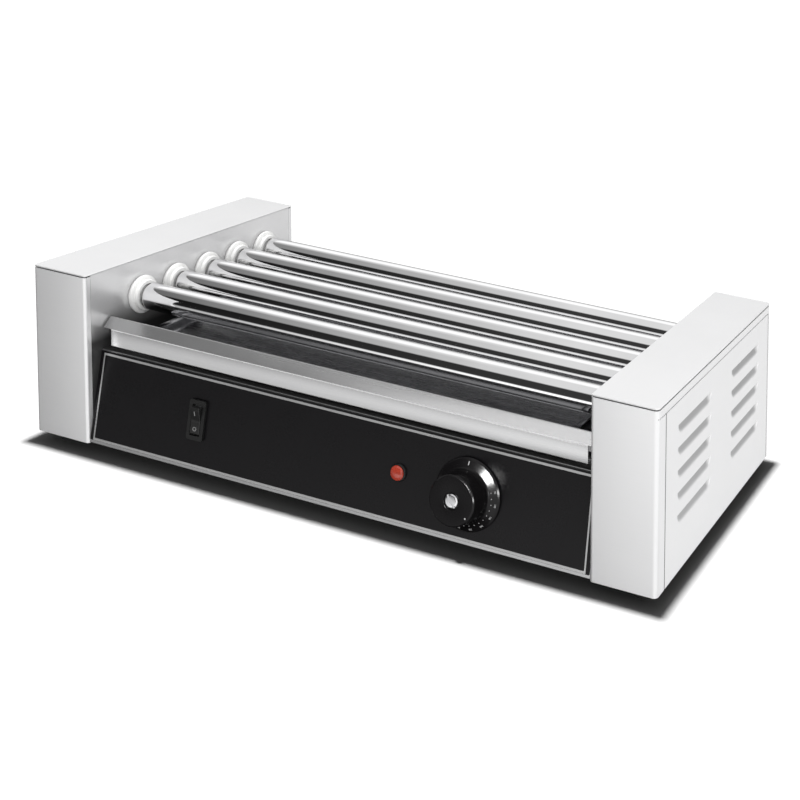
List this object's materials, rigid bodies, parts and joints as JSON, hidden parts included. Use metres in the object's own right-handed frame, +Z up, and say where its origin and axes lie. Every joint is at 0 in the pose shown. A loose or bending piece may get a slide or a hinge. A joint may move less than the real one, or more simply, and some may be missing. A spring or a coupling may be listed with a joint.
{
  "type": "hot dog roller grill",
  "caption": "Countertop roller grill: a row of heated chrome rollers between two louvred steel end housings, with a sloping black control panel and a slide-out drip tray.",
  "frame": {"origin": "worktop level under the feet, at the centre of the overall outline including the coiled cord behind", "axes": "+X to the operator's right along the rollers, +Y from the operator towards the back, +Z up"},
  "size_m": [0.58, 0.4262, 0.158],
  "materials": {
    "brushed_steel_sheet": "satin, brushed along the length",
    "dull_steel_sheet": "mill finish",
    "motor_can": "mill finish",
    "black_fascia": "satin black with a thin silver key line",
    "black_moulding": "semi-gloss moulding",
    "red_lens": "clear red",
    "cream_moulding": "matt",
    "white_moulding": "matt",
    "white_bushing": "smooth, slightly waxy",
    "zinc_plate": "zinc plated",
    "chrome_plate": "polished",
    "oiled_chain": "oiled",
    "heater_sheath": "heat stained",
    "black_rubber": "matt"
  },
  "bodies": {
    "frame": {"left_end_cover": "brushed_steel_sheet", "right_end_cover": "brushed_steel_sheet", "left_side_plate": "brushed_steel_sheet", "right_side_plate": "brushed_steel_sheet", "rear_panel": "brushed_steel_sheet", "control_panel": "brushed_steel_sheet", "base_pan": "dull_steel_sheet", "left_tray_rail": "dull_steel_sheet", "right_tray_rail": "dull_steel_sheet", "gear_motor": "motor_can", "panel_fascia": "black_fascia", "switch_housing": "black_moulding", "pilot_lamp_body": "black_moulding", "cord_gland": "black_moulding", "mains_plug": "black_moulding", "pilot_lamp_lens": "red_lens", "thermostat_body": "cream_moulding", "terminal_block": "white_moulding", "motor_bracket": "zinc_plate", "left_heater_bracket": "zinc_plate", "right_heater_bracket": "zinc_plate", "drive_chain": "oiled_chain", "power_cord": "black_rubber", "left_bushing_1": "white_bushing", "right_bushing_1": "white_bushing", "heater_rod_1": "heater_sheath", "left_bushing_2": "white_bushing", "right_bushing_2": "white_bushing", "heater_rod_2": "heater_sheath", "left_bushing_3": "white_bushing", "right_bushing_3": "white_bushing", "heater_rod_3": "heater_sheath", "left_bushing_4": "white_bushing", "right_bushing_4": "white_bushing", "heater_rod_4": "heater_sheath", "left_bushing_5": "white_bushing", "right_bushing_5": "white_bushing", "heater_rod_5": "heater_sheath", "foot_front_left": "black_rubber", "foot_front_right": "black_rubber", "foot_rear_left": "black_rubber", "foot_rear_right": "black_rubber"},
    "roller_1": {"roller_tube_1": "chrome_plate", "roller_sprocket_1": "zinc_plate"},
    "roller_2": {"roller_tube_2": "chrome_plate", "roller_sprocket_2": "zinc_plate"},
    "roller_3": {"roller_tube_3": "chrome_plate", "roller_sprocket_3": "zinc_plate"},
    "roller_4": {"roller_tube_4": "chrome_plate", "roller_sprocket_4": "zinc_plate"},
    "roller_5": {"roller_tube_5": "chrome_plate", "roller_sprocket_5": "zinc_plate"},
    "motor_output": {"motor_shaft": "zinc_plate", "motor_sprocket": "zinc_plate"},
    "knob": {"thermostat_knob": "black_moulding", "knob_screw": "chrome_plate", "thermostat_spindle": "zinc_plate"},
    "rocker": {"switch_rocker": "black_moulding"},
    "tray": {"drip_tray": "brushed_steel_sheet"}
  },
  "joints": [
    {"name": "roller_1_turn", "type": "hinge", "parent": "frame", "child": "roller_1", "pos_m": [0, -0.12596, 0.125], "axis": [1, 0, 0], "continuous": true, "deforming": ["drive_chain"]},
    {"name": "roller_2_turn", "type": "hinge", "parent": "frame", "child": "roller_2", "pos_m": [0, -0.08316, 0.125], "axis": [1, 0, 0], "continuous": true},
    {"name": "roller_3_turn", "type": "hinge", "parent": "frame", "child": "roller_3", "pos_m": [0, -0.04036, 0.125], "axis": [1, 0, 0], "continuous": true},
    {"name": "roller_4_turn", "type": "hinge", "parent": "frame", "child": "roller_4", "pos_m": [0, 0.00244, 0.125], "axis": [1, 0, 0], "continuous": true},
    {"name": "roller_5_turn", "type": "hinge", "parent": "frame", "child": "roller_5", "pos_m": [0, 0.04524, 0.125], "axis": [1, 0, 0], "continuous": true},
    {"name": "motor_output_turn", "type": "hinge", "parent": "frame", "child": "motor_output", "pos_m": [0, -0.04036, 0.06493], "axis": [1, 0, 0], "continuous": true},
    {"name": "thermostat_turn", "type": "hinge", "parent": "frame", "child": "knob", "pos_m": [0.127, -0.18134, 0.04921], "axis": [0, 0.9785, -0.206], "range_deg": [0, 270]},
    {"name": "switch_rock", "type": "hinge", "parent": "frame", "child": "rocker", "pos_m": [-0.129, -0.18194, 0.05117], "axis": [-1, 0, 0], "range_deg": [0, 20]},
    {"name": "drip_tray_slide", "type": "slide", "parent": "frame", "child": "tray", "axis": [0, -1, 0], "range_m": [0, 0.2]}
  ],
  "couplings": [
    {"joint": "roller_2_turn", "follows": "roller_1_turn", "ratio": 1},
    {"joint": "roller_3_turn", "follows": "roller_1_turn", "ratio": 1},
    {"joint": "roller_4_turn", "follows": "roller_1_turn", "ratio": 1},
    {"joint": "roller_5_turn", "follows": "roller_1_turn", "ratio": 1},
    {"joint": "motor_output_turn", "follows": "roller_1_turn", "ratio": 1}
  ]
}
